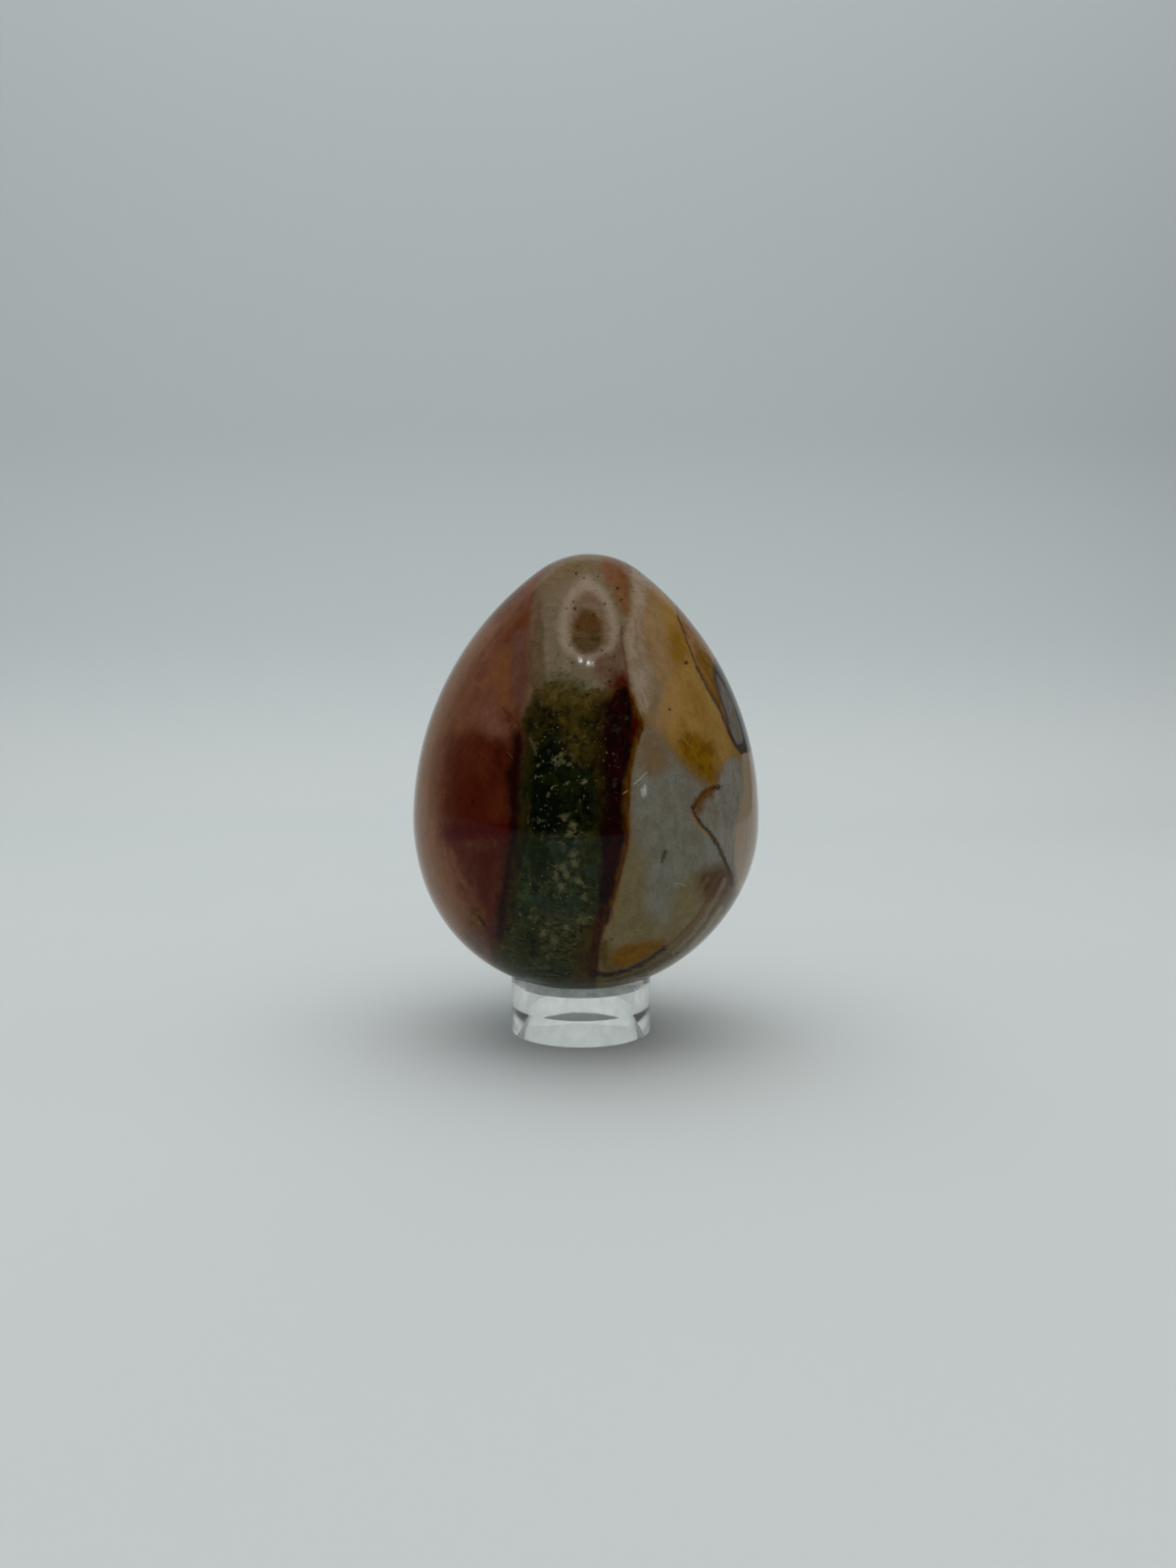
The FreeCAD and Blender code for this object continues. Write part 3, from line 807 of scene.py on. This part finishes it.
# Stands for "no mark here", in half widths
OFF_MARK = 9.0


def rounded_outline(points):
    """The closed outline with its corners cut twice."""
    for _ in range(2):
        following = np.roll(points, -1, axis=0)
        cut = np.stack([0.75 * points + 0.25 * following, 0.25 * points + 0.75 * following], axis=1)
        points = cut.reshape(-1, 2)
    return points


def nearest_offsets(places, line):
    """For every place, the vector to the nearest point of an open line."""
    best = np.full(len(places), np.inf)
    offsets = np.zeros((len(places), 2))
    for start, end in zip(line, line[1:]):
        along = end - start
        share = np.clip(((places - start) @ along) / max(along @ along, 1e-9), 0, 1)
        offset = start + share[:, None] * along - places
        distance = np.hypot(offset[:, 0], offset[:, 1])
        nearer = distance < best
        best[nearer] = distance[nearer]
        offsets[nearer] = offset[nearer]
    return offsets, best


def inside(places, outline):
    """Which places lie inside a closed outline."""
    odd = np.zeros(len(places), bool)
    x, y = places[:, 0], places[:, 1]
    for (x0, y0), (x1, y1) in zip(outline, np.roll(outline, -1, axis=0)):
        crosses = (y0 > y) != (y1 > y)
        if y0 != y1:
            odd ^= crosses & (x < x0 + (y - y0) * (x1 - x0) / (y1 - y0))
    return odd


def signed_distance(places, points):
    """Pixels from a rounded outline, positive inside it, up to FAR_PX."""
    outline = rounded_outline(np.array(points, float))
    closed = np.concatenate([outline, outline[:1]])
    low, high = closed.min(axis=0) - FAR_PX, closed.max(axis=0) + FAR_PX
    near = np.all((places > low) & (places < high), axis=1)
    result = np.full(len(places), -FAR_PX)
    distance = nearest_offsets(places[near], closed)[1]
    result[near] = np.where(inside(places[near], outline), distance, -distance)
    return np.clip(result, -FAR_PX, FAR_PX)


def all_marks():
    """Every stroke and dot as points, half width, softness, tone and strength."""
    marks = [(np.array(points, float), *look) for *look, points in STROKES]
    chance = np.random.default_rng(DOT_SEED)
    for half_width, soft, tone, strength, places in DOTS:
        for place in places:
            size, depth = chance.uniform(*DOT_SIZES), chance.uniform(*DOT_DEPTHS)
            marks.append((np.array([place, place], float), half_width * size, soft, tone, strength * depth))
    return marks


def mark_layers(marks):
    """The marks shared out over layers, so that those in one layer keep clear of each other."""
    layers = []
    for mark in marks:
        reach = mark[1] + MARK_MARGIN_PX
        for layer in layers:
            gaps = [nearest_offsets(other[0], mark[0])[1].min() - reach - other[1] - MARK_MARGIN_PX
                    for other in layer]
            gaps += [nearest_offsets(mark[0], other[0])[1].min() - reach - other[1] - MARK_MARGIN_PX
                     for other in layer]
            if min(gaps) > 0:
                layer.append(mark)
                break
        else:
            layers.append([mark])
    return layers


def store(mesh, name, kind, field, values):
    attribute = mesh.attributes.new(name, kind, "POINT")
    attribute.data.foreach_set(field, np.ascontiguousarray(values, np.float32).ravel())


def pattern_places(mesh):
    """Each vertex's place in the photograph, whether the camera sees it, and how far past the
    silhouette it lies. Past it the place drifts, so that the far side shows no mirror image."""
    count = len(mesh.vertices)
    points, normals = np.zeros(count * 3), np.zeros(count * 3)
    mesh.vertices.foreach_get("co", points)
    mesh.vertices.foreach_get("normal", normals)
    points, normals = points.reshape(-1, 3), normals.reshape(-1, 3)
    to_camera = np.array(VIEW_PLACE) - points
    to_camera /= np.linalg.norm(to_camera, axis=1)[:, None]
    facing = (normals * to_camera).sum(axis=1)
    places = photo_pixels(points)
    share = 1 - smooth_step(facing, DRIFT_END, DRIFT_START)
    noise.seed_set(DRIFT_SEED)
    for index in np.nonzero(share > 0)[0]:
        drift = noise.turbulence_vector(Vector(points[index]) / DRIFT_SIZE, 3, False)
        places[index] += share[index] * DRIFT_PX * np.array((drift.x, drift.z))
    return places, facing > 0, share


def add_pattern(mesh):
    """Stores the zones' distances and the marks' offsets and tones on the vertices."""
    places, seen, far = pattern_places(mesh)
    store(mesh, "far", "FLOAT", "value", far)
    for name, *_, points in ZONES:
        store(mesh, name, "FLOAT", "value", signed_distance(places, points))
    layers = mark_layers(all_marks())
    for number, layer in enumerate(layers):
        offsets = np.tile((0.0, 0.0, OFF_MARK), (len(places), 1))
        tones = np.zeros((len(places), 4))
        softness = np.full(len(places), 0.5)
        for line, half_width, soft, tone, strength in layer:
            reach = half_width + MARK_MARGIN_PX
            low, high = line.min(axis=0) - reach, line.max(axis=0) + reach
            near = np.nonzero(seen & np.all((places > low) & (places < high), axis=1))[0]
            offset, distance = nearest_offsets(places[near], line)
            close = distance < reach
            chosen = near[close]
            offsets[chosen, :2] = offset[close] / half_width
            offsets[chosen, 2] = 0
            tones[chosen, :3] = linear(tone)
            tones[chosen, 3] = strength
            softness[chosen] = soft
        store(mesh, "mark_%d_offset" % number, "FLOAT_VECTOR", "vector", offsets)
        store(mesh, "mark_%d_tone" % number, "FLOAT_COLOR", "color", tones)
        store(mesh, "mark_%d_soft" % number, "FLOAT", "value", softness)
    return len(layers)


def stone_material(layer_count):
    material = bpy.data.materials.new("polished_jasper")
    t = Tree(material)
    place = t.node("ShaderNodeTexCoord").outputs["Object"]
    edge_lumps = t.math("SUBTRACT", t.noise(place, EDGE_LUMP_SIZE, detail=5.0, rough=0.65), 0.5)
    fine_lumps = t.math("SUBTRACT", t.noise(place, FINE_LUMP_SIZE, detail=3.0, rough=0.6), 0.5)
    mark_lumps = t.math("MULTIPLY_ADD", edge_lumps, 2.4, t.math("MULTIPLY", fine_lumps, 2.6))
    grains = {}

    def lumps(size, stretch):
        """Noise lumps of that size in millimetres, shared by the zones that ask alike."""
        key = (size, stretch)
        if key not in grains:
            scaled = t.scaled(place, (1, 1, 1 / stretch))
            grain = t.noise(scaled, size * MM, detail=6.0, rough=0.68, warp=0.5)
            grains[key] = t.ramp(grain, 0.5 - LUMP_SPREAD, 0.5 + LUMP_SPREAD)
        return grains[key]

    def specks(size, amount, smallest, largest):
        """Scattered specks in that share of the cells, with radii as shares of a cell."""
        cells = t.node("ShaderNodeTexVoronoi", Vector=place, Scale=1 / size)
        chance = t.node("ShaderNodeSeparateColor", Color=cells.outputs["Color"]).outputs
        reach = t.math("MULTIPLY_ADD", chance[0], largest - smallest, smallest)
        distance = t.math("MULTIPLY_ADD", mark_lumps, 0.22, cells.outputs["Distance"])
        chosen = t.math("LESS_THAN", chance[1], amount)
        return t.math("MULTIPLY", t.ramp(distance, reach, t.math("MULTIPLY", reach, 0.4)), chosen)

    clusters = t.ramp(t.noise(place, CLUSTER_SIZE, detail=2.0), 0.36, 0.56)
    lace = t.ramp(t.noise(place, LACE_SIZE, detail=5.0, rough=0.62, warp=0.3), 0.57, 0.62)
    grit = specks(GRIT_CELL, 0.4, 0.08, 0.34)
    flecks = t.math("MAXIMUM", t.math("MULTIPLY", lace, clusters), grit)
    pits = t.math("MAXIMUM", specks(SMALL_PIT_CELL, 0.3, 0.08, 0.3),
                  specks(LARGE_PIT_CELL, 0.25, 0.06, 0.2))
    fleck_tone = t.mix(lumps(FLECK_LUMPS_MM, FLECK_STRETCH), rgba(FLECK_LIGHT), rgba(FLECK_DARK))

    def zone_tone(light, dark, size, stretch, fleck=0, pit=0):
        tone = t.mix(lumps(size, stretch), rgba(dark), rgba(light))
        if fleck:
            tone = t.mix(t.math("MULTIPLY", flecks, fleck), tone, fleck_tone)
        if pit:
            tone = t.mix(t.math("MULTIPLY", pits, pit), tone, rgba([level * PIT_SHADE for level in dark]))
        return tone

    colour = zone_tone(*GROUND)
    for name, soft, ragged, *look, _ in ZONES:
        distance = t.math("MULTIPLY_ADD", edge_lumps, 4 * ragged, t.attribute(name).outputs["Fac"])
        colour = t.mix(t.ramp(distance, -soft / 2, soft / 2), colour, zone_tone(*look))
    bands = t.noise(t.scaled(place, (1, 1, 0.4)), BAND_SIZE, detail=5.0, rough=0.6, warp=1.5)
    far = t.attribute("far").outputs["Fac"]
    colour = t.mix(t.math("MULTIPLY", far, t.ramp(bands, 0.5, 0.62, 0, 0.75)), colour, rgba(BAND_DARK))
    colour = t.mix(t.math("MULTIPLY", far, t.ramp(bands, 0.46, 0.36, 0, 0.65)), colour, rgba(BAND_PALE))
    for number in range(layer_count):
        length = t.vector("LENGTH", t.attribute("mark_%d_offset" % number).outputs["Vector"]).outputs["Value"]
        soft = t.attribute("mark_%d_soft" % number).outputs["Fac"]
        rough_length = t.math("ADD", mark_lumps, length)
        share = t.ramp(rough_length, t.math("ADD", soft, 1.0), t.math("SUBTRACT", 1.0, soft))
        tone = t.attribute("mark_%d_tone" % number)
        colour = t.mix(t.math("MULTIPLY", share, tone.outputs["Alpha"]), colour, tone.outputs["Color"])
    grain = t.ramp(t.noise(place, GRAIN_SIZE, detail=5.0, rough=0.7), 0.3, 0.7, 1 - GRAIN, 1 + GRAIN)
    grain_tone = t.node("ShaderNodeCombineColor", Red=grain, Green=grain, Blue=grain).outputs[0]
    colour = t.mix(1.0, colour, grain_tone, blend="MULTIPLY")
    smudge = t.ramp(t.noise(place, SMUDGE_SIZE, detail=3.0), 0.35, 0.7, SMUDGE_LEAST, SMUDGE_MOST)
    scores = t.noise(t.scaled(place, (9, 1, 1)), SCORE_SIZE, detail=3.0)
    dimples = t.math("MULTIPLY_ADD", pits, -1.5, scores)
    bump = t.node("ShaderNodeBump", Strength=0.06, Distance=SCORE_DEPTH, Height=dimples).outputs[0]
    shader = t.node("ShaderNodeBsdfPrincipled", Base_Color=colour, Roughness=smudge,
                    Specular_IOR_Level=STONE_GLOSS, Normal=bump)
    t.node("ShaderNodeOutputMaterial", Surface=shader.outputs[0])
    return material


def make_egg():
    vertices, rows, columns = egg_vertices()
    egg = new_object("jasper_egg", vertices, egg_faces(rows, columns))
    layer_count = add_pattern(egg.data)
    egg.data.materials.append(stone_material(layer_count))
    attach(egg, "egg")
    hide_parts("polished_egg")
    return egg


# Sweep: a floor that curves up into the backdrop
# It runs on all round for the other views, but only the part behind and beside the egg throws light and
# shows in the polish; past it the paper is painted room-dark, painted shade. Seen through the ring it is
# painted a little whiter, painted light, and up the wall it is painted darker, painted shade.

SWEEP_HALF_WIDTH = 1.2
SWEEP_FRONT = -1.4
SWEEP_BACK = 0.62
SWEEP_CURVE = 0.25
SWEEP_HEIGHT = 1.6
SWEEP_STEPS = 24
PAPER_FRONT = -0.38
PAPER_RIGHT = 0.4
PAPER_EDGE = 0.02
ROOM_TONE = (0.06, 0.062, 0.065, 1)
CLOUD_SIZE = 0.12
PAPER_DARK = (226, 232, 232)
PAPER_LIGHT = (230, 235, 234)
RISE_END = 0.12
# Painted shade: the darker tone the wall is painted above RISE_END
RISE_PAINTED_SHADE = (211, 219, 220)
# Painted light: the whiter tone of the paper where it is seen through the ring
THROUGH_RING_PAINTED_LIGHT = (247, 253, 249)
PAPER_ROUGHNESS = 0.85
PAPER_GLOSS = 0.2


def sweep_material():
    material = bpy.data.materials.new("pale_paper")
    t = Tree(material)
    place = t.node("ShaderNodeTexCoord").outputs["Object"]
    cloud = t.noise(place, CLOUD_SIZE, detail=3.0)
    tone = t.mix(cloud, rgba(PAPER_DARK), rgba(PAPER_LIGHT))
    across, depth, height = t.node("ShaderNodeSeparateXYZ", Vector=place).outputs
    # Painted shade: the wall is painted darker from the floor up to RISE_END.
    tone = t.mix(t.ramp(height, 0.0, RISE_END), tone, rgba(RISE_PAINTED_SHADE))
    # Past the paper's front and right edges, rays other than camera and transmission rays find it painted
    # room-dark: painted shade.
    lit = t.math("MULTIPLY", t.ramp(depth, PAPER_FRONT - PAPER_EDGE, PAPER_FRONT + PAPER_EDGE),
                 t.ramp(across, PAPER_RIGHT + PAPER_EDGE, PAPER_RIGHT - PAPER_EDGE))
    path = t.node("ShaderNodeLightPath").outputs
    seen = t.math("MAXIMUM", path["Is Camera Ray"], path["Is Transmission Ray"])
    # Painted light: the paper seen through the ring is painted whiter.
    tone = t.mix(path["Is Transmission Ray"], tone, rgba(THROUGH_RING_PAINTED_LIGHT))
    tone = t.mix(t.math("MAXIMUM", lit, seen), ROOM_TONE, tone)
    shader = t.node("ShaderNodeBsdfPrincipled", Base_Color=tone, Roughness=PAPER_ROUGHNESS,
                    Specular_IOR_Level=PAPER_GLOSS)
    t.node("ShaderNodeOutputMaterial", Surface=shader.outputs[0])
    return material


def make_sweep(material):
    line = [(SWEEP_FRONT, 0.0)]
    for step in range(SWEEP_STEPS + 1):
        turn = math.pi / 2 * step / SWEEP_STEPS
        line.append((SWEEP_BACK - SWEEP_CURVE + SWEEP_CURVE * math.sin(turn),
                     SWEEP_CURVE - SWEEP_CURVE * math.cos(turn)))
    line.append((SWEEP_BACK, SWEEP_HEIGHT))
    vertices = [(x, y, z) for y, z in line for x in (-SWEEP_HALF_WIDTH, SWEEP_HALF_WIDTH)]
    faces = [(2 * i, 2 * i + 1, 2 * i + 3, 2 * i + 2) for i in range(len(line) - 1)]
    sweep = new_object("sweep", vertices, faces)
    sweep.data.materials.append(material)
    return sweep


# Light: a broad soft box overhead, even room light that is dark where the polish mirrors it,
# and the small lamps whose images show in the polish

SOFT_BOX_PLACE = (0, 0.12, 0.9)
SOFT_BOX_TARGET = (0, 0.12, 0)
SOFT_BOX_SIZE = 1.3
SOFT_BOX_POWER = 5.5
WALL_TONE = (0.42, 0.47, 0.46, 1)
FILL_TONE = (0.37, 0.375, 0.38, 1)
REAR_TONE = (0.3, 0.31, 0.32, 1)
REAR_START = -0.2
REAR_END = 0.6
GLINT_DISTANCE = 1.0
# Name, pixel where it shows, width and height in metres, and radiance
GLINTS = [
    ("bulb_1", (590.5, 672), 0.012, 0.012, 130),
    ("bulb_2", (593.5, 674), 0.012, 0.014, 330),
    ("bulb_3", (600.2, 675.8), 0.01, 0.018, 380),
    ("bulb_4", (605.5, 677), 0.016, 0.01, 200),
    ("bulb_glow", (598, 670), 0.22, 0.2, 0.4),
    ("tube_left", (655, 809), 0.012, 0.05, 45),
    ("tube_right", (658.5, 806.5), 0.012, 0.06, 60),
]


def add_area(name, place, target, size, power, size_y=None):
    data = bpy.data.lights.new(name, "AREA")
    data.energy = power
    data.size = size
    if size_y:
        data.shape = "RECTANGLE"
        data.size_y = size_y
    lamp = bpy.data.objects.new(name, data)
    lamp.location = place
    lamp.rotation_euler = (Vector(target) - Vector(place)).to_track_quat("-Z", "Y").to_euler()
    bpy.context.scene.collection.objects.link(lamp)
    return lamp


def add_glint(egg_surface, name, pixel, width, height, radiance):
    """A small lamp whose image in the polish shows at a pixel of the photograph."""
    ray = pixel_ray(pixel)
    place, normal, _, _ = egg_surface.ray_cast(VIEW_PLACE, ray)
    away = ray - 2 * ray.dot(normal) * normal
    power = radiance * math.pi * width * height
    lamp = add_area(name, place + GLINT_DISTANCE * away, place, width, power, height)
    lamp.visible_diffuse = False
    lamp.visible_transmission = False


def add_world():
    world = bpy.data.worlds.new("room")
    bpy.context.scene.world = world
    t = Tree(world)
    direction = t.node("ShaderNodeTexCoord").outputs["Generated"]
    depth = t.node("ShaderNodeSeparateXYZ", Vector=direction).outputs[1]
    path = t.node("ShaderNodeLightPath").outputs
    front = t.mix(path["Is Glossy Ray"], FILL_TONE, ROOM_TONE)
    tone = t.mix(t.ramp(depth, REAR_START, REAR_END), front, REAR_TONE)
    seen = t.math("MAXIMUM", path["Is Camera Ray"], path["Is Transmission Ray"])
    tone = t.mix(seen, tone, WALL_TONE)
    room = t.node("ShaderNodeBackground", Color=tone, Strength=1.0)
    t.node("ShaderNodeOutputWorld", Surface=room.outputs[0])


add_camera()
make_ring(acrylic_material())
egg = make_egg()
make_sweep(sweep_material())
soft_box = add_area("soft_box", SOFT_BOX_PLACE, SOFT_BOX_TARGET, SOFT_BOX_SIZE, SOFT_BOX_POWER)
soft_box.visible_glossy = False
surface = BVHTree.FromPolygons([v.co for v in egg.data.vertices], [p.vertices for p in egg.data.polygons])
for name, *glint in GLINTS:
    add_glint(surface, name, *glint)
add_world()

bpy.context.scene.view_settings.view_transform = "Standard"
